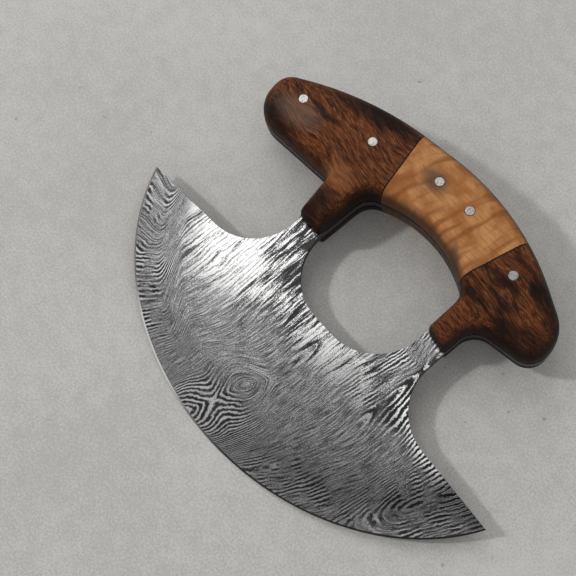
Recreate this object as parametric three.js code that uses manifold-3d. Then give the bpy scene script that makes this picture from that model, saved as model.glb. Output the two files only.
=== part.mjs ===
// Ulu knife with a crescent blade, a full tang and a three-wood handle, lying on its side.
// Millimetres, +Z up. In the knife's own plan, X runs along the chord between the blade's two points,
// Y from the cutting edge to the back of the handle, and Z is square to the plate, zero at its middle.
import * as THREE from 'three';
import { mergeVertices } from 'three/addons/utils/BufferGeometryUtils.js';
import Module from 'manifold-3d';

// Blade and tang plate
const PLATE_THICKNESS = 3;
const EDGE_HALF_WIDTH = 88; // semi-axis along the chord of the ellipse that the edge follows
const EDGE_DEPTH = 70.4; // semi-axis of that ellipse from the edge up to its centre
const TIP_HEIGHT = 47;
const FLANK_RISE = 2.5; // how much higher than the tips the flanks would reach the arms
const FLANK_RADIUS = 20;
const ARM_HALF_WIDTH = 33.3; // from the middle of the knife to the outside of an arm
const GRIND_WIDTH = 14; // band beside the edge where the plate is ground thinner
const BEVEL_WIDTH = 0.6;
const BEVEL_THICKNESS = 0.6; // plate at the top of the sharpened bevel
const EDGE_THICKNESS = 0.2;

// Finger hole
const HOLE_HALF_WIDTH = 24.6; // at the blade
const HOLE_FLOOR = 52.4;
const HOLE_FLOOR_RADIUS = 20;
const HOLE_SHOULDER_HALF_WIDTH = 23.8;
const HOLE_SHOULDER = 92.4;
const HOLE_SHOULDER_RADIUS = 7;
const HOLE_PEAK = 103.1; // where the two straight sides of the hole's top would meet
const HOLE_CROWN_RADIUS = 44;

// Outline of the handle: corners before rounding, and the radius at each
const RIGHT_NOTCH = { x: 33.4, y: 87.9, radius: 7.5 };
const RIGHT_LOBE_FRONT = { x: 56.8, y: 91.8, radius: 7 };
const RIGHT_LOBE_BACK = { x: 54.6, y: 107.1, radius: 12 };
const RIGHT_BACK_BEND = { x: 15.6, y: 126.7, radius: 93 };
const LEFT_BACK_BEND = { x: -48.6, y: 118.6, radius: 120 };
const LEFT_LOBE_BACK = { x: -77, y: 101.4, radius: 7.5 };
const LEFT_LOBE_FRONT = { x: -74.9, y: 84.3, radius: 11 };
const LEFT_NOTCH = { x: -37.1, y: 87.1, radius: 1.5 };
const LEFT_ARM_BEND = { x: -33.8, y: 69.5, radius: 10 };

// Scales, the wooden slabs on each side of the tang
const SCALE_THICKNESS = 9;
const SCALE_WALL = 1; // upright part of a scale's side, above the tang
const LEFT_LEG_END = 71.6;
const RIGHT_LEG_INNER_END = 76.4;
const RIGHT_LEG_OUTER_END = 74.8;
const LEG_CORNER_RADIUS = 1.2;
const LEG_ROUND = 2.8; // how far the round edges reach in from the outline, at the legs
const LEFT_END_ROUND = 4.5;
const RIGHT_END_ROUND = 2;
const GRIP_ROUND = 4;
const BACK_ROUND = 5;
const LOBE_ROUND = 6;

// Seams, spacers, glue and pins
const LEFT_SEAM = 22.5; // from the middle of the knife to the seam, at the height below
const RIGHT_SEAM = 23.3;
const SEAM_HEIGHT = 109;
const SEAM_LEAN = THREE.MathUtils.degToRad(13.5);
const SPACER_THICKNESS = 0.5;
const GLUE_LINE = 0.15;
const PIN_DIAMETER = 3.2;
const PINS = {
  left_end_pin: [-62.8, 98.8],
  left_inner_pin: [-34.7, 105.4],
  middle_left_pin: [-8.9, 111.9],
  middle_right_pin: [5.3, 112.1],
  right_pin: [30.8, 107.1],
};

// Fineness of the facets
const CHORD_ERROR = 0.04; // how far a facet may lie inside the arc that it stands for
const LEAST_RADIUS = 0.25;
const FILLET_SHARE = 0.98; // most of a straight side that the fillets at its ends may take
const ROUND_STEPS = 6;
const GRIND_FACETS = 120;
const PIN_FACETS = 20;

const wasm = await Module();
wasm.setup();

// Closed geometries to solids for joining and cutting, and back
function toSolid(geometry) {
  const bare = geometry.clone();
  bare.deleteAttribute('normal');
  bare.deleteAttribute('uv');
  const merged = mergeVertices(bare, 1e-4);
  return new wasm.Manifold(new wasm.Mesh({
    numProp: 3,
    vertProperties: new Float32Array(merged.attributes.position.array),
    triVerts: new Uint32Array(merged.index.array),
  }));
}

function toGeometry(solid) {
  const mesh = solid.getMesh();
  const geometry = new THREE.BufferGeometry();
  geometry.setAttribute('position', new THREE.BufferAttribute(new Float32Array(mesh.vertProperties), 3));
  geometry.setIndex(new THREE.BufferAttribute(new Uint32Array(mesh.triVerts), 1));
  return geometry;
}

// One side of an outline, moved inwards, as a point and a direction. Outlines run counter-clockwise.
function sideLine(from, to, inset) {
  const along = new THREE.Vector2(to.x - from.x, to.y - from.y).normalize();
  const inward = new THREE.Vector2(-along.y, along.x);
  return { point: new THREE.Vector2(from.x, from.y).addScaledVector(inward, inset), along };
}

function meet(first, second) {
  const gap = second.point.clone().sub(first.point);
  const reach = gap.cross(second.along) / first.along.cross(second.along);
  return first.point.clone().addScaledVector(first.along, reach);
}

// Points of an outline with rounded corners. A corner's round says how far the side that starts there moves
// in when share is 1, and the fillets at the two ends of a side leave some of it straight. Every share gives
// the same number of points, so that rings can be joined.
function outlinePoints(corners, share = 0) {
  const next = (i) => (i + 1) % corners.length;
  const insets = corners.map((corner) => share * (corner.round ?? 0));
  const sides = corners.map((corner, i) => sideLine(corner, corners[next(i)], insets[i]));
  const apexes = sides.map((side, i) => meet(sides.at(i - 1), side));
  const turns = sides.map(({ along }, i) => {
    const before = sides.at(i - 1).along;
    return Math.atan2(before.cross(along), before.dot(along));
  });
  const wanted = corners.map((corner, i) => {
    const inset = (insets.at(i - 1) + insets[i]) / 2;
    return corner.radius ? Math.max(corner.radius - Math.sign(turns[i]) * inset, LEAST_RADIUS) : 0;
  });
  const reaches = wanted.map((radius, i) => radius * Math.tan(Math.abs(turns[i]) / 2));
  const room = apexes.map((apex, i) => {
    return FILLET_SHARE * apex.distanceTo(apexes[next(i)]) / (reaches[i] + reaches[next(i)]);
  });
  return corners.flatMap((corner, i) => {
    if (!corner.radius) {
      return [apexes[i]];
    }
    const fit = Math.min(1, room.at(i - 1), room[i]);
    const { along } = sides.at(i - 1);
    const start = apexes[i].clone().addScaledVector(along, -fit * reaches[i]);
    const toCentre = new THREE.Vector2(-along.y, along.x).multiplyScalar(Math.sign(turns[i]) * fit * wanted[i]);
    const centre = start.clone().add(toCentre);
    const facetTurn = 2 * Math.acos(1 - CHORD_ERROR / corner.radius);
    const steps = Math.max(2, Math.ceil(Math.abs(turns[i]) / facetTurn));
    return Array.from({ length: steps + 1 }, (_, step) => {
      return start.clone().rotateAround(centre, turns[i] * step / steps);
    });
  });
}

// A straight prism of an outline, with holes if any, from one height to another
function prism(points, bottom, top, holes = []) {
  const shape = new THREE.Shape(points);
  shape.holes = holes.map((hole) => new THREE.Path(hole));
  const geometry = new THREE.ExtrudeGeometry(shape, { depth: top - bottom, bevelEnabled: false });
  return toSolid(geometry.translate(0, 0, bottom));
}

// Corners that the plate and the scales share
const handleBack = [
  { ...RIGHT_NOTCH, round: LOBE_ROUND },
  { ...RIGHT_LOBE_FRONT, round: LOBE_ROUND },
  { ...RIGHT_LOBE_BACK, round: BACK_ROUND },
  { ...RIGHT_BACK_BEND, round: BACK_ROUND },
  { ...LEFT_BACK_BEND, round: BACK_ROUND },
  { ...LEFT_LOBE_BACK, round: LOBE_ROUND },
  { ...LEFT_LOBE_FRONT, round: LOBE_ROUND },
  { ...LEFT_NOTCH, round: LEG_ROUND },
];
const holeFoot = { x: HOLE_HALF_WIDTH, y: HOLE_FLOOR };
const holeShoulder = { x: HOLE_SHOULDER_HALF_WIDTH, y: HOLE_SHOULDER };
const holeTop = [
  { x: -holeShoulder.x, y: holeShoulder.y, radius: HOLE_SHOULDER_RADIUS, round: GRIP_ROUND },
  { x: 0, y: HOLE_PEAK, radius: HOLE_CROWN_RADIUS, round: GRIP_ROUND },
  { ...holeShoulder, radius: HOLE_SHOULDER_RADIUS, round: LEG_ROUND },
];
const armFoot = { x: ARM_HALF_WIDTH, y: TIP_HEIGHT + FLANK_RISE };
const knifeLength = 2 * EDGE_HALF_WIDTH;
const halfPlate = PLATE_THICKNESS / 2;
const scaleFoot = halfPlate + GLUE_LINE;
const scaleTop = scaleFoot + SCALE_THICKNESS;

// Bores for the pins, through everything
const boreRadius = PIN_DIAMETER / 2 + GLUE_LINE;
const pinBores = Object.values(PINS).map(([x, y]) => {
  const bore = new THREE.CylinderGeometry(boreRadius, boreRadius, knifeLength, PIN_FACETS);
  return toSolid(bore.rotateX(Math.PI / 2).translate(x, y, 0));
});

function drilled(solid) {
  return pinBores.reduce((rest, bore) => rest.subtract(bore), solid);
}

// Blade and tang: a blank with a straight lower end, which the grinding then brings to the curved edge
function bladeBlank() {
  const tipX = EDGE_HALF_WIDTH * Math.sqrt(1 - (1 - TIP_HEIGHT / EDGE_DEPTH) ** 2);
  const fall = FLANK_RISE / (tipX - ARM_HALF_WIDTH);
  const sideY = TIP_HEIGHT - fall * (knifeLength - tipX);
  const outline = outlinePoints([
    { x: knifeLength, y: -knifeLength },
    { x: knifeLength, y: sideY },
    { ...armFoot, radius: FLANK_RADIUS },
    ...handleBack,
    LEFT_ARM_BEND,
    { x: -armFoot.x, y: armFoot.y, radius: FLANK_RADIUS },
    { x: -knifeLength, y: sideY },
    { x: -knifeLength, y: -knifeLength },
  ]);
  const hole = outlinePoints([
    { ...holeFoot, radius: HOLE_FLOOR_RADIUS },
    ...holeTop.toReversed(),
    { x: -holeFoot.x, y: holeFoot.y, radius: HOLE_FLOOR_RADIUS },
  ]);
  return prism(outline, -halfPlate, halfPlate, [hole]);
}

// What grinding leaves: a disc turned to the taper and the bevel, flattened to the ellipse of the edge
function groundDisc() {
  const flattening = EDGE_DEPTH / EDGE_HALF_WIDTH;
  const bevelStart = EDGE_HALF_WIDTH - BEVEL_WIDTH / flattening;
  const taperLength = (GRIND_WIDTH - BEVEL_WIDTH) / flattening;
  const taper = (halfPlate - BEVEL_THICKNESS / 2) / taperLength;
  const thickStart = bevelStart - 2 * taperLength;
  const thick = BEVEL_THICKNESS / 2 + 2 * taperLength * taper;
  const upper = [
    new THREE.Vector2(EDGE_HALF_WIDTH, EDGE_THICKNESS / 2),
    new THREE.Vector2(bevelStart, BEVEL_THICKNESS / 2),
    new THREE.Vector2(thickStart, thick),
    new THREE.Vector2(0, thick),
  ];
  const lower = upper.map((point) => new THREE.Vector2(point.x, -point.y)).reverse();
  const disc = new THREE.LatheGeometry([...lower, ...upper], GRIND_FACETS);
  return toSolid(disc.rotateX(Math.PI / 2).scale(1, flattening, 1).translate(0, EDGE_DEPTH, 0));
}

function bladeAndTang() {
  const wheelReach = (TIP_HEIGHT + EDGE_DEPTH) / 2;
  const belowReach = [
    new THREE.Vector2(-2 * knifeLength, -2 * knifeLength),
    new THREE.Vector2(2 * knifeLength, -2 * knifeLength),
    new THREE.Vector2(2 * knifeLength, wheelReach),
    new THREE.Vector2(-2 * knifeLength, wheelReach),
  ];
  const swarf = prism(belowReach, -PLATE_THICKNESS, PLATE_THICKNESS).subtract(groundDisc());
  return drilled(bladeBlank().subtract(swarf));
}

// One side's scales before they are cut apart: the handle's outline, drawn in along a quarter ellipse
function gripSide() {
  const onSide = (from, to, y) => THREE.MathUtils.mapLinear(y, from.y, to.y, from.x, to.x);
  const corners = [
    ...handleBack,
    {
      x: onSide(LEFT_NOTCH, LEFT_ARM_BEND, LEFT_LEG_END),
      y: LEFT_LEG_END,
      radius: LEG_CORNER_RADIUS,
      round: LEFT_END_ROUND,
    },
    {
      x: -onSide(holeFoot, holeShoulder, LEFT_LEG_END),
      y: LEFT_LEG_END,
      radius: LEG_CORNER_RADIUS,
      round: LEG_ROUND,
    },
    ...holeTop,
    {
      x: onSide(holeFoot, holeShoulder, RIGHT_LEG_INNER_END),
      y: RIGHT_LEG_INNER_END,
      radius: LEG_CORNER_RADIUS,
      round: RIGHT_END_ROUND,
    },
    {
      x: onSide(armFoot, RIGHT_NOTCH, RIGHT_LEG_OUTER_END),
      y: RIGHT_LEG_OUTER_END,
      radius: LEG_CORNER_RADIUS,
      round: LEG_ROUND,
    },
  ];
  const rings = [{ height: scaleFoot, share: 0 }];
  for (let step = 0; step <= ROUND_STEPS; step += 1) {
    const angle = (Math.PI / 2) * (step / ROUND_STEPS);
    const rise = (SCALE_THICKNESS - SCALE_WALL) * Math.sin(angle);
    rings.push({ height: scaleFoot + SCALE_WALL + rise, share: 1 - Math.cos(angle) });
  }
  const outlines = rings.map((ring) => outlinePoints(corners, ring.share));
  const count = outlines[0].length;
  const positions = outlines.flatMap((outline, ring) => outline.flatMap((p) => [p.x, p.y, rings[ring].height]));
  const indices = [];
  for (let ring = 0; ring + 1 < rings.length; ring += 1) {
    for (let i = 0; i < count; i += 1) {
      const here = ring * count + i;
      const next = ring * count + ((i + 1) % count);
      indices.push(here, next, next + count, here, next + count, here + count);
    }
  }
  const topRing = (rings.length - 1) * count;
  THREE.ShapeUtils.triangulateShape(outlines[0], []).forEach(([a, b, c]) => indices.push(a, c, b));
  THREE.ShapeUtils.triangulateShape(outlines.at(-1), []).forEach(([a, b, c]) => {
    indices.push(topRing + a, topRing + b, topRing + c);
  });
  const geometry = new THREE.BufferGeometry();
  geometry.setAttribute('position', new THREE.Float32BufferAttribute(positions, 3));
  geometry.setIndex(indices);
  return drilled(toSolid(geometry));
}

// The slice of a side between two distances from the left or the right seam. A seam leans outwards towards
// the back of the handle, and distances are counted from it towards the middle of the knife.
function seamSlice(direction, from, to) {
  const across = new THREE.Vector2(-direction * Math.cos(SEAM_LEAN), Math.sin(SEAM_LEAN));
  const along = new THREE.Vector2(direction * Math.sin(SEAM_LEAN), Math.cos(SEAM_LEAN));
  const onSeam = new THREE.Vector2(direction < 0 ? -LEFT_SEAM : RIGHT_SEAM, SEAM_HEIGHT);
  const corner = (distance, reach) => onSeam.clone()
    .addScaledVector(across, distance)
    .addScaledVector(along, reach);
  const outline = [
    corner(from, -knifeLength),
    corner(to, -knifeLength),
    corner(to, knifeLength),
    corner(from, knifeLength),
  ];
  return prism(outline, 0, knifeLength);
}

function gripPieces() {
  const whole = gripSide();
  const halfSpacer = SPACER_THICKNESS / 2;
  const bonded = halfSpacer + GLUE_LINE;
  const slices = {
    left_scale: seamSlice(-1, -knifeLength, -bonded),
    left_spacer: seamSlice(-1, -halfSpacer, halfSpacer),
    middle_scale: seamSlice(-1, bonded, knifeLength).intersect(seamSlice(1, bonded, knifeLength)),
    right_spacer: seamSlice(1, -halfSpacer, halfSpacer),
    right_scale: seamSlice(1, -knifeLength, -bonded),
  };
  return Object.entries(slices).map(([name, slice]) => [name, toGeometry(whole.intersect(slice))]);
}

// The same piece on the far side of the plate
function mirrored(geometry) {
  const twin = geometry.clone().scale(1, 1, -1);
  const index = twin.index.array;
  for (let i = 0; i < index.length; i += 3) {
    [index[i], index[i + 1]] = [index[i + 1], index[i]];
  }
  return twin;
}

// Materials
const damascus = new THREE.MeshStandardMaterial({ color: 0x8a8b8c, roughness: 0.35, metalness: 1 });
const pinSteel = new THREE.MeshStandardMaterial({ color: 0xc9c7c4, roughness: 0.3, metalness: 1 });
const darkWood = new THREE.MeshStandardMaterial({ color: 0x4b2a1b, roughness: 0.45, metalness: 0 });
const lightWood = new THREE.MeshStandardMaterial({ color: 0xa86a38, roughness: 0.45, metalness: 0 });
const blackFibre = new THREE.MeshStandardMaterial({ color: 0x15110f, roughness: 0.6, metalness: 0 });
const gripMaterials = {
  left_scale: darkWood,
  left_spacer: blackFibre,
  middle_scale: lightWood,
  right_spacer: blackFibre,
  right_scale: darkWood,
};

// Assembly, in the knife's own plan
function named(name, geometry, material) {
  const mesh = new THREE.Mesh(geometry, material);
  mesh.name = name;
  return mesh;
}

const knife = new THREE.Group();
knife.add(named('blade_and_tang', toGeometry(bladeAndTang()), damascus));
gripPieces().forEach(([name, geometry]) => {
  knife.add(named(`front_${name}`, geometry, gripMaterials[name]));
  knife.add(named(`rear_${name}`, mirrored(geometry), gripMaterials[name]));
});
Object.entries(PINS).forEach(([name, [x, y]]) => {
  const radius = PIN_DIAMETER / 2;
  const pin = named(name, new THREE.CylinderGeometry(radius, radius, 2 * scaleTop, PIN_FACETS), pinSteel);
  pin.rotation.x = Math.PI / 2;
  pin.position.set(x, y, 0);
  knife.add(pin);
});

// At rest the knife leans on its edge and on the rear legs, where their flat backs begin. The origin is under
// the middle of the knife, on the surface that it lies on.
const legFlatStart = LEFT_LEG_END + LEFT_END_ROUND;
knife.rotation.x = Math.atan2(scaleTop - EDGE_THICKNESS / 2, legFlatStart);
const bounds = new THREE.Box3().setFromObject(knife, true);
const middle = bounds.getCenter(new THREE.Vector3());
knife.position.set(-middle.x, -middle.y, -bounds.min.z);

const ulu = new THREE.Group();
ulu.add(knife);
export default ulu;
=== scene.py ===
# Ulu knife lying on its side: a crescent blade of layered steel with a full tang, under a handle of dark and
# light wood. Metres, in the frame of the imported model. Patterns are laid out in the knife's own plan, in
# millimetres, with X along the chord between the points, Y from edge to handle, and Z out of the plate.
import math

import bpy
from mathutils import Euler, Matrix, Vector


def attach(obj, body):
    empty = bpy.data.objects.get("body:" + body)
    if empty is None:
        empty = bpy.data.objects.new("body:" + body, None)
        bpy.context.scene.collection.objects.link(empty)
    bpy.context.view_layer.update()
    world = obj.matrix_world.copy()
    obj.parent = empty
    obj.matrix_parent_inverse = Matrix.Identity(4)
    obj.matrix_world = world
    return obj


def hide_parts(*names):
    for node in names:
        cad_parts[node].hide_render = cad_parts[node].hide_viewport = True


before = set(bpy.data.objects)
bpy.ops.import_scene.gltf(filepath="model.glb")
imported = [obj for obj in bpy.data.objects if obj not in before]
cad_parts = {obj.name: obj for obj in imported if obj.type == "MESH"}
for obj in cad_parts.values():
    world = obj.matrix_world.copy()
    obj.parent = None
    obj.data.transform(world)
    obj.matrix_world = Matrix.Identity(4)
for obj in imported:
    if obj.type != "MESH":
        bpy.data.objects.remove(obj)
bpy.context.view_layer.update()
bpy.context.scene.view_settings.view_transform = "Standard"


# Camera
# It stands off the edge, towards the blade's right point, and looks steeply down on the knife. The lens is
# long, so that there is little perspective, and the picture is level and without shift.
CAMERA_PLACE = (0.10115, -0.11012, 0.37627)
CAMERA_TARGET = (-0.01755, -0.01016, 0.00891)
CAMERA_LENS = 75.0
CAMERA_SENSOR = 36.0

bpy.ops.object.select_all(action="DESELECT")
bpy.ops.object.camera_add(location=CAMERA_PLACE)
camera = bpy.context.object
camera.name = "camera"
camera.data.lens = CAMERA_LENS
camera.data.sensor_width = CAMERA_SENSOR
line_of_sight = Vector(CAMERA_TARGET) - Vector(CAMERA_PLACE)
camera.rotation_euler = line_of_sight.to_track_quat("-Z", "Y").to_euler()
bpy.context.scene.camera = camera


# Light
# A key lamp from the left throws the shadows to the right, and pale surroundings fill them. The flat of the
# blade mirrors two soft boxes, a large one in its left half and a small one in its right arm and flank, and
# between them a dark flag, a round patch of the surroundings overhead.
KEY_DIRECTION = Vector((-0.47, -0.55, 0.69))
KEY_DISTANCE = 2.6
KEY_SIZE = 0.22
KEY_POWER = 24.0
SOFT_BOX_PLACE = (-0.774, 0.208, 1.0)
SOFT_BOX_TURN = (0, 0, math.radians(24))
SOFT_BOX_SIZE = 0.9
SOFT_BOX_POWER = 3.2
SMALL_BOX_PLACE = (-0.0715, 0.0124, 1.0)
SMALL_BOX_TURN = (0, 0, math.radians(-13))
SMALL_BOX_SIZE = (0.22, 0.12)
SMALL_BOX_POWER = 0.115
SKY_OVERHEAD = (0.52, 0.52, 0.52, 1.0)
SKY_AT_FLOOR = (0.7, 0.7, 0.7, 1.0)
FLAG_DARK = (0.04, 0.04, 0.04, 1.0)
FLAG_DIRECTION = Vector((-0.02, -0.07, 1.0)).normalized()
FLAG_RADII = (0.18, 0.32)  # radians from its middle, where it starts to fade and where it ends


def area_lamp(name, place, turn, shape, size_x, size_y, power):
    """Adds a lamp with a flat face, which shines straight down before it is turned."""
    bpy.ops.object.light_add(type="AREA", location=place, rotation=turn)
    lamp = bpy.context.object
    lamp.name = name
    lamp.data.shape = shape
    lamp.data.size = size_x
    lamp.data.size_y = size_y
    lamp.data.energy = power
    return lamp


key_place = Vector(CAMERA_TARGET) + KEY_DIRECTION.normalized() * KEY_DISTANCE
key_turn = (-KEY_DIRECTION).to_track_quat("-Z", "Y").to_euler()
key = area_lamp("key_lamp", key_place, key_turn, "DISK", KEY_SIZE, KEY_SIZE, KEY_POWER)
key.visible_glossy = False
area_lamp("soft_box", SOFT_BOX_PLACE, SOFT_BOX_TURN, "SQUARE", SOFT_BOX_SIZE, SOFT_BOX_SIZE, SOFT_BOX_POWER)
area_lamp("small_box", SMALL_BOX_PLACE, SMALL_BOX_TURN, "RECTANGLE", *SMALL_BOX_SIZE, SMALL_BOX_POWER)


def node(material, kind, values, **settings):
    """Adds a shader node to a material or the world, and gives its outputs.

    Values go to its inputs, by name or in order, and a value that is another node's output is linked.
    """
    made = material.node_tree.nodes.new("ShaderNode" + kind)
    for setting, choice in settings.items():
        setattr(made, setting, choice)
    inputs = values if isinstance(values, dict) else dict(enumerate(values))
    for socket, value in inputs.items():
        if isinstance(value, bpy.types.NodeSocket):
            material.node_tree.links.new(value, made.inputs[socket])
        else:
            made.inputs[socket].default_value = value
    return made.outputs


def calculate(material, operation, *values):
    """A sum, product or other arithmetic on numbers and outputs."""
    return node(material, "Math", values, operation=operation)["Value"]


def spread(material, value, low, high, to_low=0.0, to_high=1.0):
    """Takes the span from low to high smoothly to the span from to_low to to_high."""
    span = {"Value": value, "From Min": low, "From Max": high, "To Min": to_low, "To Max": to_high}
    return node(material, "MapRange", span, interpolation_type="SMOOTHSTEP")["Result"]


def blend(material, share, first, second):
    """Mixes two colours."""
    return node(material, "Mix", {0: share, 6: first, 7: second}, data_type="RGBA")[2]


world = bpy.data.worlds.new("surroundings")
world.use_nodes = True
sky_direction = node(world, "TexCoord", {})["Generated"]
sky_height = node(world, "SeparateXYZ", {"Vector": sky_direction})["Z"]
sky = blend(world, sky_height, SKY_AT_FLOOR, SKY_OVERHEAD)
towards_flag = node(world, "VectorMath", [sky_direction, FLAG_DIRECTION], operation="DOT_PRODUCT")["Value"]
flag_share = spread(world, towards_flag, math.cos(FLAG_RADII[1]), math.cos(FLAG_RADII[0]))
sky = blend(world, flag_share, sky, FLAG_DARK)
world.node_tree.links.new(sky, world.node_tree.nodes["Background"].inputs["Color"])
bpy.context.scene.world = world


# Floor
# A plain pale floor that the knife lies on, of smooth grey concrete. It is floated by hand, so it is cloudy,
# with a fine grit and a few darker specks.
FLOOR_SIZE = 6.0
FLOOR_LIGHT = (0.54, 0.525, 0.505, 1.0)
FLOOR_SHADE = (0.42, 0.41, 0.39, 1.0)
FLOOR_SPECK = (0.3, 0.29, 0.275, 1.0)
FLOOR_ROUGHNESS = 0.8
FLOOR_PATCHES = (14.0, 6.0)  # lumps to a metre, and how much finer detail is on them
FLOOR_BLOTCHES = (180.0, 3.0)
FLOOR_GRIT = (1400.0, 2.0)
FLOOR_SPECKS = (240.0, 1.0)
BLOTCH_WEIGHT = 0.7  # against the patches
GRIT_WEIGHT = 1.9
MOTTLE_SPAN = (1.4, 2.2)
SPECK_SPAN = (0.75, 0.83)


def finish_material(name, sockets):
    """A new material, with the numbers that are the same all over it set on its surface shader."""
    material = bpy.data.materials.new(name)
    material.use_nodes = True
    surface = material.node_tree.nodes["Principled BSDF"]
    for socket, value in sockets.items():
        surface.inputs[socket].default_value = value
    return material, surface


def connect(material, surface, outputs):
    """Links outputs to the sockets of the surface shader."""
    for socket, output in outputs.items():
        material.node_tree.links.new(output, surface.inputs[socket])


concrete, concrete_surface = finish_material("floor_concrete", {"Roughness": FLOOR_ROUGHNESS})
floor_place = node(concrete, "TexCoord", {})["Object"]


def floor_noise(scale, detail):
    """Noise over the floor, with so many lumps to a metre."""
    return node(concrete, "TexNoise", {"Vector": floor_place, "Scale": scale, "Detail": detail})["Fac"]


patches = floor_noise(*FLOOR_PATCHES)
mottle = calculate(concrete, "MULTIPLY_ADD", floor_noise(*FLOOR_BLOTCHES), BLOTCH_WEIGHT, patches)
mottle = calculate(concrete, "MULTIPLY_ADD", floor_noise(*FLOOR_GRIT), GRIT_WEIGHT, mottle)
floor_tone = blend(concrete, spread(concrete, mottle, *MOTTLE_SPAN), FLOOR_SHADE, FLOOR_LIGHT)
specks = spread(concrete, floor_noise(*FLOOR_SPECKS), *SPECK_SPAN)
floor_tone = blend(concrete, specks, floor_tone, FLOOR_SPECK)
connect(concrete, concrete_surface, {"Base Color": floor_tone})

bpy.ops.mesh.primitive_plane_add(size=FLOOR_SIZE, location=(0, 0, 0))
floor = bpy.context.object
floor.name = "floor"
floor.data.materials.append(concrete)


# Blade and tang
# One plate of forge-welded steel layers, sawn to outline, ground thin towards the curved edge and etched, so
# that its layers show as light and dark lines. The bevel is honed bright at the left, and towards the right
# its colour is painted dark, as painted shade. The sawn rim, which shows round the handle, is left dull and
# dark with etching, and its colour is painted darker still, as painted shade.
LIE_ANGLE = math.radians(7.893)
PLAN_ORIGIN = Vector((0, -0.061582, 0.000267))
MM_PER_METRE = 1000.0
ANY_HEIGHT = 1000.0  # a reach out of the plate, so long that the height makes no difference
MERGE_DISTANCE = 1e-6  # metres
EDGE_CENTRE = 70.4
EDGE_REACH = (88.0, 70.4)
BEVEL_FADE = (0.991, 0.993)  # shares of the way from the edge's centre to the edge
RIM_UPRIGHT = 0.3  # most that a face of the rim may face out of the plate
BLADE_SMOOTHING = math.radians(20)
LIGHT_LAYER = (0.76, 0.76, 0.75, 1.0)
MILD_LAYER = (0.32, 0.32, 0.32, 1.0)
DARK_LAYER = (0.035, 0.035, 0.036, 1.0)
MILD_TONE = 0.5  # between 0 for dark and 1 for light
# Bevel colours: honed bright, and two darker ones that are painted shade away from the honed stretch.
HONED_BEVEL = (0.9, 0.88, 0.86, 1.0)
BEVEL_HALF_SHADE = (0.26, 0.24, 0.23, 1.0)
BEVEL_PAINTED_SHADE = (0.045, 0.04, 0.038, 1.0)
HONED_PLACE = -32.0
HONED_FADE = (10.0, 26.0)  # distances from that place
BEVEL_SHADE_FADE = (-8.0, 12.0)
# The rim's colours are its dark etching, darkened further as painted shade.
RIM_ETCH_AND_SHADE = (0.11, 0.105, 0.1, 1.0)
RIM_DEEPER_ETCH_AND_SHADE = (0.04, 0.038, 0.036, 1.0)
RIM_SCRATCH = (0.4, 0.4, 6.0)
RIM_SPAN = (0.3, 0.7)
RIM_ROUGHNESS = 0.5
LIGHT_LAYER_ROUGHNESS = 0.2
DARK_LAYER_ROUGHNESS = 0.27
SHARP_LAYER_ROUGHNESS = 0.13
ETCH_DEPTH = 0.00005
ETCH_STRENGTH = 0.5

# The layers run from the edge to the handle. They lean over below LEAN_TOP, and over the ground band at the
# left they fan out. Where the plate was pressed in forging they fold back and close into figures: a
# four-pointed star beside the edge, narrow arches down the right arm, and hairpins at the right point.
# Places, reaches and widths are in millimetres of the plan.
LEAN_TOP = 40.0
LEAN = 0.01
LEFT_FADE = (-8.0, -40.0)
FAN_RADIUS = 72.0
FAN_FADE = (0.78, 0.9)  # shares of the way from the edge's centre to the edge
LEFT_BAND_FADE = (0.78, 0.84)
LEFT_TURN_START = -62.0
LEFT_TURN = 0.4
STAR_PLACE = (-5.2, 10.2)
STAR_REACH = (23.0, 20.0)
STAR_FADE = 0.7
STAR_LEAN = math.tan(math.radians(15))
STAR_SCALE = 0.6
STAR_SHIFT = LEAN * (LEAN_TOP - STAR_PLACE[1]) ** 2
STAR_ROUNDNESS = 2.0
ARCH_PLACE = (33.0, 66.0)
ARCH_START = (4.0, 24.0)
ARCH_LENGTH = 24.0
ARCH_SLOPE = 0.22
ARCH_ROUNDNESS = 0.8
HAIRPIN_PLACE = (62.9, 35.4, 0)
HAIRPIN_TURN = math.radians(71)
HAIRPIN_STRETCH = 0.35
HAIRPIN_FADE = (44.0, 58.0)
LAYER_DRIFTS = ((9.0, 40.0), (3.0, 9.0), (0.7, 2.6))  # how far layers stray, over what distance
RAGGED_DRIFT = (0.8, 1.0)

# Fine lines cover the blade. Bold streaks lie round the finger hole, mild lines along the edge and at the
# points, and sharp lines in the right arm and flank. Weights say how strongly one pattern breaks up another.
# A span gives the levels of a pattern that come out dark and light, and their tones where not 0 and 1.
SHARP_SPACING = 1.5
MILD_SPACING = 1.3
BOLD_LAYER = (1.1, 13.0)  # width across and length along the layers
FINE_LAYER = (0.4, 6.0)
PATCH_SIZE = 6.0
GRAIN_SIZE = 0.3
BREAKS_BY_BOLD = 2.6
BREAKS_BY_GRAIN = 1.6
DASHES_BY_FINE = 2.4
DASHES_BY_GRAIN = 1.4
GRAIN_IN_BOLD = 0.4
GRAIN_IN_FINE = 0.7
PALE_LIFT = 0.15
HALF_PALE = 0.65
STREAKED = -0.4
FLANK_LIFT = 0.6
BOLD_SPAN = (0.68, 0.77)
DASH_SPAN = (0.5, 1.4, 0.4, 1.0)
SHARP_SPAN = (2.3, 3.1)
MILD_SPAN = (1.4, 3.2, 0.05, 0.95)
LEFT_BAND_SPAN = (1.6, 3.0, 0.0, 0.95)
FINE_SPAN = (0.58, 1.12, 0.0, 0.88)
PATCH_SPAN = (0.4, 0.6)
DARK_ZONE_TONE = 0.7
LEFT_BAND_TONE = 0.95

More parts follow.
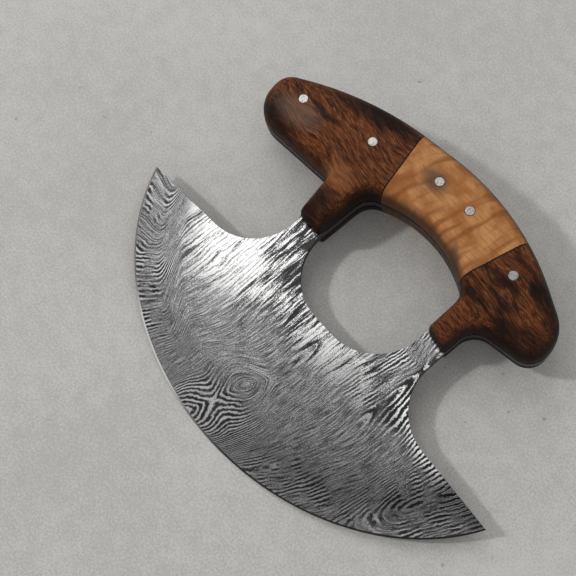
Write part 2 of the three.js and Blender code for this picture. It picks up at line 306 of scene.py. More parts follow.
# Zones are ovals: the middle's X and Y, the reach along and across, and the turn in degrees. Among the bold
# streaks, light gains in the pale and half-pale zones and dark in the streaked ones. Light gains among the
# sharp lines of the flank too, and the dark zones are toned down as a whole.
WIDE_FADE = 0.8  # share of an oval's reach in which it fades out
MIDDLE_FADE = 0.6
NARROW_FADE = 0.5
STAR_CLEAR_FADE = 0.45
BOLD_ZONES = ((-38, 56, 46, 34, 15), (2, 51, 46, 15, 0))
PALE_ZONES = ((-45, 49, 33, 27, 10),)
HALF_PALE_ZONES = ((8, 47, 28, 14, 0), (-32, 31, 18, 13, -30))
STREAKED_ZONES = ((-24, 60, 13, 18, 0), (-46, 33, 22, 13, -20), (-5, 45, 13, 11, 0))
MILD_ZONES = ((-76, 42, 26, 17, 0), (64, 38, 30, 20, 46), (26, 8, 60, 14, 8), (29, 60, 18, 26, 0))
STAR_CLEAR_ZONES = ((-3, 6, 22, 13, 8),)
SHARP_ZONES = ((39, 61, 11, 23, 0), (60, 50, 28, 9, -8))
FLANK_ZONES = ((60, 50, 30, 9, -8),)
DARK_ZONES = ((-74, 39, 26, 20, 0), (30, 8, 46, 13, 16))


def plan_place(material):
    """The surface point in the knife's own plan, in millimetres."""
    turn = Euler((-LIE_ANGLE, 0, 0))
    shift = PLAN_ORIGIN.copy()
    shift.rotate(turn)
    return node(material, "Mapping", {
        "Vector": node(material, "TexCoord", {})["Object"],
        "Location": -shift * MM_PER_METRE,
        "Rotation": turn,
        "Scale": (MM_PER_METRE,) * 3,
    })["Vector"]


def stretched_noise(material, place, sizes, detail, roughness=0.5):
    """Noise whose lumps have the given sizes along X, Y and Z."""
    scaled = node(material, "Mapping", {"Vector": place, "Scale": [1 / size for size in sizes]})["Vector"]
    grain = {"Vector": scaled, "Scale": 1.0, "Detail": detail, "Roughness": roughness}
    return node(material, "TexNoise", grain)["Fac"]


def oval(material, place, centre_x, centre_y, reach_x, reach_y, turn):
    """One at the middle of an oval of the plan, falling evenly to nothing at its rim."""
    moved = node(material, "Mapping", {
        "Vector": place,
        "Location": (centre_x, centre_y, 0),
        "Rotation": (0, 0, math.radians(turn)),
        "Scale": (reach_x, reach_y, ANY_HEIGHT),
    }, vector_type="TEXTURE")["Vector"]
    return node(material, "TexGradient", {"Vector": moved}, gradient_type="SPHERICAL")["Fac"]


def deepest_oval(material, place, zones):
    """The largest of what several ovals give at a point."""
    deepest = 0.0
    for zone in zones:
        deepest = calculate(material, "MAXIMUM", deepest, oval(material, place, *zone))
    return deepest


def zone_share(material, place, zones, fade):
    """One inside any of the ovals, fading out near their rims."""
    return spread(material, deepest_oval(material, place, zones), 0.0, fade)


def level_blend(material, share, first, second):
    """Mixes two numbers."""
    return node(material, "Mix", {0: share, 2: first, 3: second}, data_type="FLOAT")[0]


def rounded_size(material, value, roundness):
    """The size of a number whatever its sign, with the corner at zero rounded off."""
    squared = calculate(material, "MULTIPLY_ADD", value, value, roundness ** 2)
    return calculate(material, "SQRT", squared)


damascus, damascus_surface = finish_material("etched_damascus", {"Metallic": 1.0})
blade_place = plan_place(damascus)
blade_axes = node(damascus, "SeparateXYZ", {"Vector": blade_place})
blade_x = blade_axes["X"]
blade_y = blade_axes["Y"]
from_centre = node(damascus, "Mapping", {
    "Vector": blade_place,
    "Location": (0, EDGE_CENTRE, 0),
    "Scale": (*EDGE_REACH, ANY_HEIGHT),
}, vector_type="TEXTURE")["Vector"]
edge_share = node(damascus, "VectorMath", [from_centre], operation="LENGTH")["Value"]

# Distance across the layers: lean and fan
star_share = zone_share(damascus, blade_place, [(*STAR_PLACE, *STAR_REACH, 0)], STAR_FADE)
below_lean = calculate(damascus, "MAXIMUM", calculate(damascus, "SUBTRACT", LEAN_TOP, blade_y), 0.0)
lean = calculate(damascus, "MULTIPLY", calculate(damascus, "POWER", below_lean, 2.0), LEAN)
above_star = calculate(damascus, "SUBTRACT", blade_y, STAR_PLACE[1])
beside_star = calculate(damascus, "SUBTRACT", blade_x, STAR_PLACE[0])
star_lean = calculate(damascus, "MULTIPLY_ADD", above_star, -STAR_LEAN, STAR_SHIFT)
lean = level_blend(damascus, star_share, lean, star_lean)
below_centre = calculate(damascus, "SUBTRACT", EDGE_CENTRE, blade_y)
fan_angle = calculate(damascus, "ARCTAN2", blade_x, below_centre)
fan = calculate(damascus, "MULTIPLY", fan_angle, FAN_RADIUS)
in_left = spread(damascus, blade_x, *LEFT_FADE)
fan_share = calculate(damascus, "MULTIPLY", in_left, spread(damascus, edge_share, *FAN_FADE))
layer_x = level_blend(damascus, fan_share, calculate(damascus, "ADD", blade_x, lean), fan)

# Distance across the layers: star, arches and hairpins
left_of_star = calculate(damascus, "SUBTRACT", STAR_PLACE[0] + STAR_SHIFT, layer_x)
from_arches = calculate(damascus, "SUBTRACT", layer_x, ARCH_PLACE[0])
from_arches = rounded_size(damascus, from_arches, ARCH_ROUNDNESS)
right_of_star = calculate(damascus, "SUBTRACT", ARCH_PLACE[0] - STAR_PLACE[0] - STAR_SHIFT, from_arches)
across = calculate(damascus, "SMOOTH_MAX", left_of_star, right_of_star, 2 * STAR_ROUNDNESS)
past_turn = calculate(damascus, "MINIMUM", calculate(damascus, "SUBTRACT", blade_x, LEFT_TURN_START), 0.0)
across = calculate(damascus, "MULTIPLY_ADD", past_turn, LEFT_TURN, across)
star_height = calculate(damascus, "MULTIPLY_ADD", beside_star, STAR_LEAN, above_star)
star_height = rounded_size(damascus, star_height, STAR_ROUNDNESS)
across = calculate(damascus, "SUBTRACT", across, calculate(damascus, "MULTIPLY", star_share, star_height))
across = calculate(damascus, "MULTIPLY", across, level_blend(damascus, star_share, 1.0, STAR_SCALE))
arch_height = calculate(damascus, "SUBTRACT", blade_y, ARCH_PLACE[1])
arch_height = rounded_size(damascus, arch_height, ARCH_ROUNDNESS)
arch_height = calculate(damascus, "MINIMUM", arch_height, ARCH_LENGTH)
arch_share = spread(damascus, blade_x, *ARCH_START, 0.0, ARCH_SLOPE)
across = calculate(damascus, "MULTIPLY_ADD", arch_share, arch_height, across)
hairpin_place = node(damascus, "Mapping", {
    "Vector": blade_place,
    "Location": HAIRPIN_PLACE,
    "Rotation": (0, 0, HAIRPIN_TURN),
}, vector_type="TEXTURE")["Vector"]
hairpin_axes = node(damascus, "SeparateXYZ", {"Vector": hairpin_place})
behind_turn = calculate(damascus, "MINIMUM", hairpin_axes["X"], 0.0)
behind_turn = calculate(damascus, "MULTIPLY", behind_turn, HAIRPIN_STRETCH)
hairpins = calculate(damascus, "POWER", behind_turn, 2.0)
hairpins = calculate(damascus, "MULTIPLY_ADD", hairpin_axes["Y"], hairpin_axes["Y"], hairpins)
hairpins = calculate(damascus, "SQRT", hairpins)
across = level_blend(damascus, spread(damascus, blade_x, *HAIRPIN_FADE), across, hairpins)
for reach, size in LAYER_DRIFTS:
    even_across = across
    drift = stretched_noise(damascus, blade_place, (size, 2 * size, 2 * size), detail=1.0)
    across = calculate(damascus, "MULTIPLY_ADD", drift, reach, across)

# Patterns in the layers. Fine lines leave out the smallest drift, which would make them wormy.
layer_place = node(damascus, "CombineXYZ", {"X": across, "Y": blade_y, "Z": 0.0})["Vector"]
even_place = node(damascus, "CombineXYZ", {"X": even_across, "Y": blade_y, "Z": 0.0})["Vector"]
bold = stretched_noise(damascus, layer_place, (*BOLD_LAYER, 1.0), detail=3.0, roughness=0.6)
fine = stretched_noise(damascus, even_place, (*FINE_LAYER, 1.0), detail=2.0)
grain = stretched_noise(damascus, blade_place, (GRAIN_SIZE,) * 3, detail=1.0)
ragged_drift = stretched_noise(damascus, blade_place, (RAGGED_DRIFT[1],) * 3, detail=1.0)
ragged = calculate(damascus, "MULTIPLY_ADD", ragged_drift, RAGGED_DRIFT[0], across)
grain_breaks = calculate(damascus, "MULTIPLY", grain, BREAKS_BY_GRAIN)
broken_edges = calculate(damascus, "MULTIPLY_ADD", bold, BREAKS_BY_BOLD, grain_breaks)


def layer_waves(spacing):
    """Waves across the layers, with a crest at each light layer."""
    return calculate(damascus, "SINE", calculate(damascus, "MULTIPLY", ragged, 2 * math.pi / spacing))


sharp_waves = layer_waves(SHARP_SPACING)
dashes = calculate(damascus, "MULTIPLY_ADD", fine, DASHES_BY_FINE, sharp_waves)
dashes = calculate(damascus, "MULTIPLY_ADD", grain, DASHES_BY_GRAIN, dashes)
sharp_waves = calculate(damascus, "ADD", sharp_waves, broken_edges)
mild_waves = calculate(damascus, "ADD", layer_waves(MILD_SPACING), broken_edges)

# Tones of each kind of line
pale = zone_share(damascus, blade_place, PALE_ZONES, WIDE_FADE)
half_pale = zone_share(damascus, blade_place, HALF_PALE_ZONES, WIDE_FADE)
streaked = zone_share(damascus, blade_place, STREAKED_ZONES, WIDE_FADE)
pale = calculate(damascus, "MULTIPLY_ADD", half_pale, HALF_PALE, pale)
pale = calculate(damascus, "MULTIPLY_ADD", streaked, STREAKED, pale)
bold_lines = calculate(damascus, "MULTIPLY_ADD", grain, GRAIN_IN_BOLD, bold)
bold_lines = calculate(damascus, "MULTIPLY_ADD", pale, PALE_LIFT, bold_lines)
bold_lines = spread(damascus, bold_lines, *BOLD_SPAN)
bold_lines = calculate(damascus, "MULTIPLY", bold_lines, spread(damascus, dashes, *DASH_SPAN))
flank_share = zone_share(damascus, blade_place, FLANK_ZONES, NARROW_FADE)
sharp_lines = calculate(damascus, "MULTIPLY_ADD", flank_share, FLANK_LIFT, sharp_waves)
sharp_lines = spread(damascus, sharp_lines, *SHARP_SPAN)
left_band = calculate(damascus, "MULTIPLY", in_left, spread(damascus, edge_share, *LEFT_BAND_FADE))
left_lines = spread(damascus, sharp_waves, *LEFT_BAND_SPAN)
mild_lines = level_blend(damascus, left_band, spread(damascus, mild_waves, *MILD_SPAN), left_lines)
fine_lines = calculate(damascus, "MULTIPLY_ADD", grain, GRAIN_IN_FINE, fine)
fine_lines = spread(damascus, fine_lines, *FINE_SPAN)

# Where each kind of line lies
patches_of_lines = stretched_noise(damascus, blade_place, (PATCH_SIZE,) * 3, detail=1.0)
patches_of_lines = spread(damascus, patches_of_lines, *PATCH_SPAN)
mild_share = zone_share(damascus, blade_place, MILD_ZONES, NARROW_FADE)
mild_share = calculate(damascus, "MAXIMUM", left_band, mild_share)
mild_share = calculate(damascus, "MULTIPLY", mild_share, patches_of_lines)
star_clear = zone_share(damascus, blade_place, STAR_CLEAR_ZONES, STAR_CLEAR_FADE)
mild_share = calculate(damascus, "MAXIMUM", mild_share, star_clear)
bold_share = zone_share(damascus, blade_place, BOLD_ZONES, MIDDLE_FADE)
bold_share = calculate(damascus, "MULTIPLY", bold_share, calculate(damascus, "SUBTRACT", 1.0, left_band))
sharp_share = zone_share(damascus, blade_place, SHARP_ZONES, NARROW_FADE)
dark_share = zone_share(damascus, blade_place, DARK_ZONES, MIDDLE_FADE)
layers = level_blend(damascus, bold_share, fine_lines, bold_lines)
layers = level_blend(damascus, mild_share, layers, mild_lines)
layers = level_blend(damascus, sharp_share, layers, sharp_lines)
layers = calculate(damascus, "MULTIPLY", layers, level_blend(damascus, dark_share, 1.0, DARK_ZONE_TONE))
layers = calculate(damascus, "MULTIPLY", layers, level_blend(damascus, left_band, 1.0, LEFT_BAND_TONE))

# Colour, bevel and etching
layer_colour = blend(damascus, spread(damascus, layers, 0.0, MILD_TONE), DARK_LAYER, MILD_LAYER)
layer_colour = blend(damascus, spread(damascus, layers, MILD_TONE, 1.0), layer_colour, LIGHT_LAYER)
# The bevel is bright about HONED_PLACE; away from it, its colour is painted dark as painted shade, darkest
# at the right.
from_honed = calculate(damascus, "ABSOLUTE", calculate(damascus, "SUBTRACT", blade_x, HONED_PLACE))
bevel_colour = blend(damascus, spread(damascus, blade_x, *BEVEL_SHADE_FADE), BEVEL_HALF_SHADE, BEVEL_PAINTED_SHADE)
bevel_colour = blend(damascus, spread(damascus, from_honed, *HONED_FADE), HONED_BEVEL, bevel_colour)
on_bevel = spread(damascus, edge_share, *BEVEL_FADE)
bright_roughness = level_blend(damascus, sharp_share, LIGHT_LAYER_ROUGHNESS, SHARP_LAYER_ROUGHNESS)
etching = {"Height": layers, "Distance": ETCH_DEPTH, "Strength": ETCH_STRENGTH}
connect(damascus, damascus_surface, {
    "Base Color": blend(damascus, on_bevel, layer_colour, bevel_colour),
    "Roughness": level_blend(damascus, layers, DARK_LAYER_ROUGHNESS, bright_roughness),
    "Normal": node(damascus, "Bump", etching)["Normal"],
})


def speckled_material(name, sockets, sizes, span, first, second):
    """A material of two colours, mixed by noise whose lumps have the given sizes in the plan."""
    material, surface = finish_material(name, sockets)
    speckles = stretched_noise(material, plan_place(material), sizes, detail=2.0)
    tone = blend(material, spread(material, speckles, *span), first, second)
    connect(material, surface, {"Base Color": tone})
    return material


def take_up(piece):
    """Makes a piece the one that the next operators work on."""
    bpy.ops.object.select_all(action="DESELECT")
    bpy.context.view_layer.objects.active = piece
    piece.select_set(True)


def merged_copy(cad_node, name):
    """A piece with the shape of a CAD node, its loose triangles joined."""
    piece = bpy.data.objects.new(name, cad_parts[cad_node].data.copy())
    bpy.context.collection.objects.link(piece)
    take_up(piece)
    piece.data.materials.clear()
    bpy.ops.object.mode_set(mode="EDIT")
    bpy.ops.mesh.select_all(action="SELECT")
    bpy.ops.mesh.remove_doubles(threshold=MERGE_DISTANCE)
    bpy.ops.object.mode_set(mode="OBJECT")
    return piece


def direction_in_frame(x, y, z):
    """A direction of the plan, turned into the frame."""
    direction = Vector((x, y, z))
    direction.rotate(Euler((LIE_ANGLE, 0, 0)))
    return direction


def settle(piece, cad_node):
    """Fixes a finished piece to the knife in the place of its CAD node."""
    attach(piece, "root")
    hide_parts(cad_node)


# The rim's colour is its dark etching with painted shade on top.
rim_sockets = {"Metallic": 1.0, "Roughness": RIM_ROUGHNESS}
rim_etch_and_shade = speckled_material("sawn_rim_etch_and_painted_shade", rim_sockets, RIM_SCRATCH, RIM_SPAN, RIM_DEEPER_ETCH_AND_SHADE, RIM_ETCH_AND_SHADE)
plate_normal = direction_in_frame(0, 0, 1)
blade = merged_copy("blade_and_tang", "damascus_blade")
blade.data.materials.append(damascus)
blade.data.materials.append(rim_etch_and_shade)
for face in blade.data.polygons:
    face.material_index = 1 if abs(face.normal.dot(plate_normal)) < RIM_UPRIGHT else 0
bpy.ops.object.shade_smooth_by_angle(angle=BLADE_SMOOTHING)
settle(blade, "blade_and_tang")


# Handle sides as glued up
# Each side of the handle is glued up from dark wood, spacer, light wood, spacer and dark wood, pinned, and
# then rounded and sanded as one, so that everything is flush. The finished pieces are cut from these blanks.
SIDES = {"front": 1, "rear": -1}
SIDE_NODES = ("left_scale", "left_spacer", "middle_scale", "right_spacer", "right_scale")
PIN_PLACES = {
    "left_end_pin": (-62.8, 98.8),
    "left_inner_pin": (-34.7, 105.4),
    "middle_left_pin": (-8.9, 111.9),
    "middle_right_pin": (5.3, 112.1),
    "right_pin": (30.8, 107.1),
}
GLUE_FILL = 0.0001  # metres; a side swells by this and shrinks again, which closes the glue lines
SANDING_GRAIN = 0.0004  # metres
SANDING_PASSES = 14
FOOT_HEIGHT = 1.65  # millimetres from the plate's middle to the foot of a side


def in_frame(x, y, z):
    """A point of the plan, in millimetres, as a point of the frame."""
    return direction_in_frame(*(Vector((x, y, z)) / MM_PER_METRE)) + PLAN_ORIGIN


def cut_away(piece, point, outwards):
    """Saws off all that lies outwards of a plane, and closes the cut."""
    take_up(piece)
    bpy.ops.object.mode_set(mode="EDIT")
    bpy.ops.mesh.select_all(action="SELECT")
    bpy.ops.mesh.bisect(plane_co=point, plane_no=outwards, use_fill=True, clear_outer=True)
    bpy.ops.object.mode_set(mode="OBJECT")


def swell(piece, name, amount):
    """Adds a modifier that moves the whole surface outwards."""
    swelling = piece.modifiers.new(name, "DISPLACE")
    swelling.strength = amount
    swelling.mid_level = 0.0


blanks = {}
for side, facing in SIDES.items():
    parts = [merged_copy(f"{side}_{part}", f"{side}_{part}_blank") for part in SIDE_NODES]
    parts += [merged_copy(pin, f"{side}_{pin}_blank") for pin in PIN_PLACES]
    for part in parts:
        part.select_set(True)
    bpy.context.view_layer.objects.active = parts[0]
    bpy.ops.object.join()
    blank = bpy.context.object
    swell(blank, "close_glue_lines", GLUE_FILL)
    evening = blank.modifiers.new("even_faces", "REMESH")
    evening.mode = "VOXEL"
    evening.voxel_size = SANDING_GRAIN
    sanding = blank.modifiers.new("sanding", "SMOOTH")
    sanding.iterations = SANDING_PASSES
    swell(blank, "back_to_size", -GLUE_FILL)
    for modifier in [modifier.name for modifier in blank.modifiers]:
        bpy.ops.object.modifier_apply(modifier=modifier)
    cut_away(blank, in_frame(0, 0, facing * FOOT_HEIGHT), direction_in_frame(0, 0, -facing))
    blanks[side] = blank


# Dark wood scales
# Four slabs of a dark, red-brown wood with black streaks, two on each side of the tang, glued and pinned to
# it and oiled to a satin finish. The left ones have a long lobe and the right ones a short one, and each
# has a leg down the blade's arm.
SEAM_LEAN = math.radians(13.5)
SEAMS = {"left": (-22.5, 109.0), "right": (23.3, 109.0)}
SPACER_HALF = 0.25
HANDLE_SMOOTHING = math.radians(40)
DARK_WOOD_FIBRE = (0.26, 0.1, 0.038, 1.0)
DARK_WOOD_RED = (0.125, 0.036, 0.011, 1.0)
DARK_WOOD_BROWN = (0.04, 0.012, 0.005, 1.0)
DARK_WOOD_BLACK = (0.008, 0.004, 0.003, 1.0)
# The colour of a painted sheen on the left lobe.
DARK_WOOD_PAINTED_SHEEN = (0.17, 0.105, 0.075, 1.0)
DARK_WOOD_SHEEN = 0.08
DARK_GRAIN_TURN = math.radians(6)
DARK_SWAY_SIZE = (26.0, 12.0, 12.0)  # sizes of lumps along X, Y and Z
DARK_SWAY = 9.0
DARK_CLOUD = (22.0, 8.0, 8.0)
DARK_STREAK = (11.0, 1.2, 1.2)
DARK_FIBRE = (3.4, 0.42, 0.42)
RED_STREAKS = (0.36, 0.66)
LIT_FIBRES = (0.48, 0.7, 0.0, 0.75)
BLACK_CLOUDS = (0.46, 0.66, 0.0, 0.92)
BLACK_FIBRES = (0.45, 0.3, 0.0, 0.8)
DARK_STAINS = (
    (-31, 76, 10, 9, 0),
    (-22, 88, 5, 12, 0),
    (51, 95, 14, 9, 20),
    (48, 108, 16, 7, -25),
    (-66, 86, 16, 6, 0),
    (-44, 112, 26, 5, 15),
)
STAIN_RAGGEDNESS = 0.9
STAIN_SPAN = (0.0, 0.6, 0.0, 0.68)
ORANGE_PATCHES = ((-34, 89, 9, 6, 0),)
ORANGE_FADE = 0.6
# A painted sheen: a greyer patch on the left lobe, near its end pin.
PAINTED_SHEEN_PATCHES = ((-60.5, 94.5, 13, 7, 8),)
PAINTED_SHEEN_FADE = 0.7
# Painted shade darkens the sides of the dark wood towards the plate, less at the left lobe.
PAINTED_WALL_SHADE = (10.0, 6.0)  # heights over the plate's middle between which the sides of the handle darken
PAINTED_WALL_SHADE_SHARE = (-48.0, -30.0, 0.45, 0.9)  # less at the left lobe
DARK_WOOD_GLOSS = (0.3, 0.7, 0.55, 0.42)
DARK_FIBRE_DEPTH = 0.00008
DARK_FIBRE_RELIEF = 0.5


def cut_from_blank(side, name, cuts):
    """Cuts a piece from a glued-up side.

    Each cut names a seam, a distance from it towards the middle, and whether middle or end goes.
    """
    piece = bpy.data.objects.new(f"{side}_{name}_sanded", blanks[side].data.copy())
    bpy.context.collection.objects.link(piece)
    for seam, distance, cleared in cuts:
        inwards = 1 if seam == "left" else -1
        across_seam = Vector((inwards * math.cos(SEAM_LEAN), math.sin(SEAM_LEAN), 0))
        on_seam = Vector((*SEAMS[seam], 0)) + across_seam * distance
        outwards = across_seam if cleared == "middle" else -across_seam
        cut_away(piece, in_frame(*on_seam), direction_in_frame(*outwards))
    bpy.ops.object.shade_smooth_by_angle(angle=HANDLE_SMOOTHING)
    return piece


def turned(material, place, angle):
    """A point of the plan, turned about the direction out of the plate."""
    return node(material, "Mapping", {"Vector": place, "Rotation": (0, 0, angle)})["Vector"]


def tinted(material, tone, tints):
    """A base colour with others laid over it, each where its pattern passes through its span."""
    for pattern, span, colour in tints:
        tone = blend(material, spread(material, pattern, *span), tone, colour)
    return tone


def ragged_zones(material, place, zones, rim_noise, raggedness, span):
    """A share that grows from the rims of ovals inwards, with the rims made ragged by noise."""
    rim = calculate(material, "MULTIPLY_ADD", rim_noise, raggedness, -raggedness / 2)
    depth = calculate(material, "ADD", deepest_oval(material, place, zones), rim)
    return spread(material, depth, *span)


def oil(material, surface, tone, fibres, gloss, depth, relief):
    """Joins a wood's colour to its surface, with gloss and a slight relief that follow the fibres."""
    bump = {"Height": fibres, "Distance": depth, "Strength": relief}
    connect(material, surface, {
        "Base Color": tone,
        "Roughness": spread(material, fibres, *gloss),
        "Normal": node(material, "Bump", bump)["Normal"],
    })


dark_wood, dark_surface = finish_material("oiled_dark_wood", {"Specular IOR Level": DARK_WOOD_SHEEN})
dark_plan = plan_place(dark_wood)
dark_turned = turned(dark_wood, dark_plan, DARK_GRAIN_TURN)
dark_axes = node(dark_wood, "SeparateXYZ", {"Vector": dark_turned})
dark_sway = stretched_noise(dark_wood, dark_turned, DARK_SWAY_SIZE, detail=2.0)
dark_y = calculate(dark_wood, "MULTIPLY_ADD", dark_sway, DARK_SWAY, dark_axes["Y"])
swayed = {"X": dark_axes["X"], "Y": dark_y, "Z": dark_axes["Z"]}
dark_grain = node(dark_wood, "CombineXYZ", swayed)["Vector"]
dark_clouds = stretched_noise(dark_wood, dark_grain, DARK_CLOUD, detail=4.0, roughness=0.6)
dark_streaks = stretched_noise(dark_wood, dark_grain, DARK_STREAK, detail=3.0, roughness=0.6)
dark_fibres = stretched_noise(dark_wood, dark_grain, DARK_FIBRE, detail=3.0, roughness=0.7)
dark_tone = tinted(dark_wood, DARK_WOOD_BROWN, (
    (dark_streaks, RED_STREAKS, DARK_WOOD_RED),
    (dark_fibres, LIT_FIBRES, DARK_WOOD_FIBRE),
    (dark_clouds, BLACK_CLOUDS, DARK_WOOD_BLACK),
    (dark_fibres, BLACK_FIBRES, DARK_WOOD_BLACK),
))
stained = ragged_zones(dark_wood, dark_plan, DARK_STAINS, dark_clouds, STAIN_RAGGEDNESS, STAIN_SPAN)
dark_tone = blend(dark_wood, stained, dark_tone, DARK_WOOD_BLACK)
# Orange patches, and a painted sheen on the left lobe.
for zones, fade, pattern, colour in (
    (ORANGE_PATCHES, ORANGE_FADE, dark_streaks, DARK_WOOD_FIBRE),
    (PAINTED_SHEEN_PATCHES, PAINTED_SHEEN_FADE, dark_fibres, DARK_WOOD_PAINTED_SHEEN),
):
    patch_share = zone_share(dark_wood, dark_plan, zones, fade)
    patch_share = calculate(dark_wood, "MULTIPLY", patch_share, pattern)
    dark_tone = blend(dark_wood, patch_share, dark_tone, colour)
# Painted shade: the sides of the handle turn black towards the plate, less at the left lobe.
dark_height = calculate(dark_wood, "ABSOLUTE", dark_axes["Z"])
painted_wall_shade = spread(dark_wood, dark_height, *PAINTED_WALL_SHADE)
painted_wall_shade_share = spread(dark_wood, dark_axes["X"], *PAINTED_WALL_SHADE_SHARE)
painted_wall_shade = calculate(dark_wood, "MULTIPLY", painted_wall_shade, painted_wall_shade_share)
dark_tone = blend(dark_wood, painted_wall_shade, dark_tone, DARK_WOOD_BLACK)
oil(dark_wood, dark_surface, dark_tone, dark_fibres, DARK_WOOD_GLOSS,
    DARK_FIBRE_DEPTH, DARK_FIBRE_RELIEF)

for side in SIDES:
    for end in ("left", "right"):
        scale = cut_from_blank(side, f"{end}_scale", [(end, -SPACER_HALF, "middle")])
        scale.data.materials.append(dark_wood)
        settle(scale, f"{side}_{end}_scale")


# Light wood scales
# Two slabs of a tan, burl-like wood between the dark ones, one on each side, with brown bands across the
# grip and grey bruises round one pin and by the finger hole. Oiled as the dark wood is.
LIGHT_WOOD_PALE = (0.47, 0.23, 0.088, 1.0)
LIGHT_WOOD_TAN = (0.29, 0.105, 0.03, 1.0)
LIGHT_WOOD_BAND = (0.19, 0.062, 0.017, 1.0)
LIGHT_WOOD_BRUISE = (0.075, 0.05, 0.032, 1.0)
# The colour of painted shade on the sides of the light wood.
LIGHT_WOOD_WALL_SHADE = (0.05, 0.024, 0.012, 1.0)
LIGHT_WOOD_SHEEN = 0.12
LIGHT_SWAY_SIZE = (16.0, 16.0, 16.0)  # sizes of lumps along X, Y and Z
LIGHT_SWAY = 5.0
LIGHT_BAND = (2.2, 16.0, 16.0)
LIGHT_CLOUD = (14.0, 9.0, 9.0)
LIGHT_FIBRE = (6.0, 0.45, 0.45)
PALE_CLOUDS = (0.36, 0.62)
BROWN_BANDS = (0.45, 0.7, 0.0, 0.75)
TAN_FIBRES = (0.45, 0.68, 0.0, 0.6)
BRUISES = ((-9.5, 111.5, 8, 6, 0), (13.5, 98.0, 9, 3, -35))
BRUISE_RAGGEDNESS = 0.8
BRUISE_SPAN = (0.1, 0.8, 0.0, 0.75)
# Heights over the plate's middle between which painted shade darkens the sides, and how much.
LIGHT_WALL_SHADE_SPAN = (10.4, 6.5, 0.0, 0.88)
LIGHT_WOOD_GLOSS = (0.3, 0.7, 0.42, 0.55)
LIGHT_FIBRE_DEPTH = 0.00005
LIGHT_FIBRE_RELIEF = 0.4

light_wood, light_surface = finish_material("oiled_light_wood", {"Specular IOR Level": LIGHT_WOOD_SHEEN})
light_plan = plan_place(light_wood)
light_turned = turned(light_wood, light_plan, SEAM_LEAN)
light_axes = node(light_wood, "SeparateXYZ", {"Vector": light_turned})
light_sway = stretched_noise(light_wood, light_plan, LIGHT_SWAY_SIZE, detail=1.0)
light_x = calculate(light_wood, "MULTIPLY_ADD", light_sway, LIGHT_SWAY, light_axes["X"])
swayed = {"X": light_x, "Y": light_axes["Y"], "Z": light_axes["Z"]}
light_grain = node(light_wood, "CombineXYZ", swayed)["Vector"]
light_bands = stretched_noise(light_wood, light_grain, LIGHT_BAND, detail=1.0)
light_clouds = stretched_noise(light_wood, light_grain, LIGHT_CLOUD, detail=4.0, roughness=0.6)
light_fibres = stretched_noise(light_wood, light_plan, LIGHT_FIBRE, detail=3.0)
light_tone = tinted(light_wood, LIGHT_WOOD_TAN, (
    (light_clouds, PALE_CLOUDS, LIGHT_WOOD_PALE),
    (light_bands, BROWN_BANDS, LIGHT_WOOD_BAND),
    (light_fibres, TAN_FIBRES, LIGHT_WOOD_TAN),
))
bruised = ragged_zones(light_wood, light_plan, BRUISES, light_sway, BRUISE_RAGGEDNESS, BRUISE_SPAN)
light_tone = blend(light_wood, bruised, light_tone, LIGHT_WOOD_BRUISE)
# Painted shade: the sides of the light wood darken towards the plate.
light_height = calculate(light_wood, "ABSOLUTE", light_axes["Z"])
light_tone = blend(light_wood, spread(light_wood, light_height, *LIGHT_WALL_SHADE_SPAN), light_tone, LIGHT_WOOD_WALL_SHADE)
oil(light_wood, light_surface, light_tone, light_fibres, LIGHT_WOOD_GLOSS,
    LIGHT_FIBRE_DEPTH, LIGHT_FIBRE_RELIEF)

for side in SIDES:
    middle_cuts = [("left", SPACER_HALF, "end"), ("right", SPACER_HALF, "end")]
    scale = cut_from_blank(side, "middle_scale", middle_cuts)
    scale.data.materials.append(light_wood)
    settle(scale, f"{side}_middle_scale")


# Spacers
# Four thin sheets of black fibre, one in each seam between dark and light wood, on both sides of the tang.
# They are glued in and sanded flush with the woods, so that only a dark line shows.
SPACER_BLACK = (0.006, 0.004, 0.003, 1.0)
SPACER_WORN = (0.018, 0.011, 0.008, 1.0)
SPACER_SOCKETS = {"Roughness": 0.6, "Specular IOR Level": 0.15}
SPACER_FIBRE = (0.4, 0.4, 0.4)
SPACER_SPAN = (0.4, 0.7)

black_fibre = speckled_material(
    "black_spacer_fibre", SPACER_SOCKETS, SPACER_FIBRE, SPACER_SPAN, SPACER_BLACK, SPACER_WORN)

for side in SIDES:
    for end in ("left", "right"):
        spacer_cuts = [(end, -SPACER_HALF, "end"), (end, SPACER_HALF, "middle")]
        spacer = cut_from_blank(side, f"{end}_spacer", spacer_cuts)
        spacer.data.materials.append(black_fibre)
        settle(spacer, f"{side}_{end}_spacer")

for blank in blanks.values():
    bpy.data.objects.remove(blank)


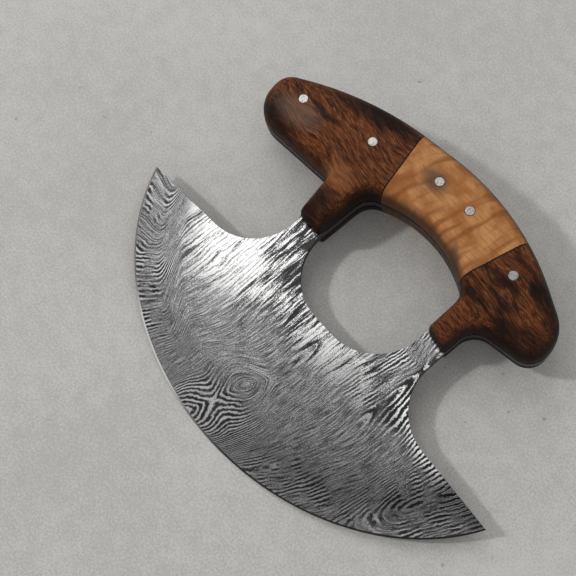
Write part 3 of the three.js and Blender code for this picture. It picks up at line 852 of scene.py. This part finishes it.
# Pins
# Five lengths of steel rod, driven through both sides and the tang and filed flush with the wood. A thin
# dark ring of glue shows round each end, and the filed faces are slightly pitted.
PIN_RADIUS = 0.0016  # metres, as the lengths below are
PIN_SIDES = 48
GLUE_RING = 0.00015
PIN_HALF_LENGTH = 0.01066
PIN_PROUD = 0.00003
PIN_BEVEL = 0.00008
PIN_BEVEL_HEIGHT = 0.00002
PIN_END_FACING = 0.9  # least that an end face has to face out of the plate
PIN_SMOOTHING = math.radians(10)
PIN_STEEL = (0.5, 0.47, 0.44, 1.0)
PIN_PIT = (0.2, 0.19, 0.18, 1.0)
PIN_SOCKETS = {"Metallic": 1.0, "Roughness": 0.3}
PIT_SIZE = (0.45, 0.45, 0.45)
PIT_SPAN = (0.45, 0.7)
GLUE_DARK = (0.018, 0.012, 0.009, 1.0)
GLUE_SOCKETS = {"Roughness": 0.5}
GLUE_GRAIN = (0.3, 0.3, 0.3)
GLUE_SPAN = (0.0, 1.0)

pin_steel = speckled_material("filed_pin_steel", PIN_SOCKETS, PIT_SIZE, PIT_SPAN, PIN_STEEL, PIN_PIT)
glue = speckled_material("dark_glue", GLUE_SOCKETS, GLUE_GRAIN, GLUE_SPAN, GLUE_DARK, SPACER_WORN)

for cad_node, place in PIN_PLACES.items():
    bpy.ops.mesh.primitive_cylinder_add(
        vertices=PIN_SIDES,
        radius=PIN_RADIUS + GLUE_RING,
        depth=2 * PIN_HALF_LENGTH,
        location=in_frame(*place, 0),
        rotation=(LIE_ANGLE, 0, 0),
    )
    pin = bpy.context.object
    pin.name = cad_node + "_rod"
    take_up(pin)
    bpy.ops.object.transform_apply(location=True, rotation=True, scale=True)
    pin.data.materials.append(glue)
    pin.data.materials.append(pin_steel)
    bpy.ops.object.mode_set(mode="EDIT")
    bpy.ops.mesh.select_all(action="DESELECT")
    bpy.ops.object.mode_set(mode="OBJECT")
    for face in pin.data.polygons:
        face.select = abs(face.normal.dot(plate_normal)) > PIN_END_FACING
    bpy.ops.object.mode_set(mode="EDIT")
    bpy.ops.mesh.inset(thickness=GLUE_RING, use_individual=True)
    bpy.ops.mesh.extrude_faces_move(TRANSFORM_OT_shrink_fatten={"value": -PIN_PROUD})
    pin.active_material_index = 1
    bpy.ops.object.material_slot_assign()
    bpy.ops.mesh.inset(thickness=PIN_BEVEL, depth=PIN_BEVEL_HEIGHT, use_individual=True)
    bpy.ops.object.mode_set(mode="OBJECT")
    bpy.ops.object.shade_smooth_by_angle(angle=PIN_SMOOTHING)
    settle(pin, cad_node)
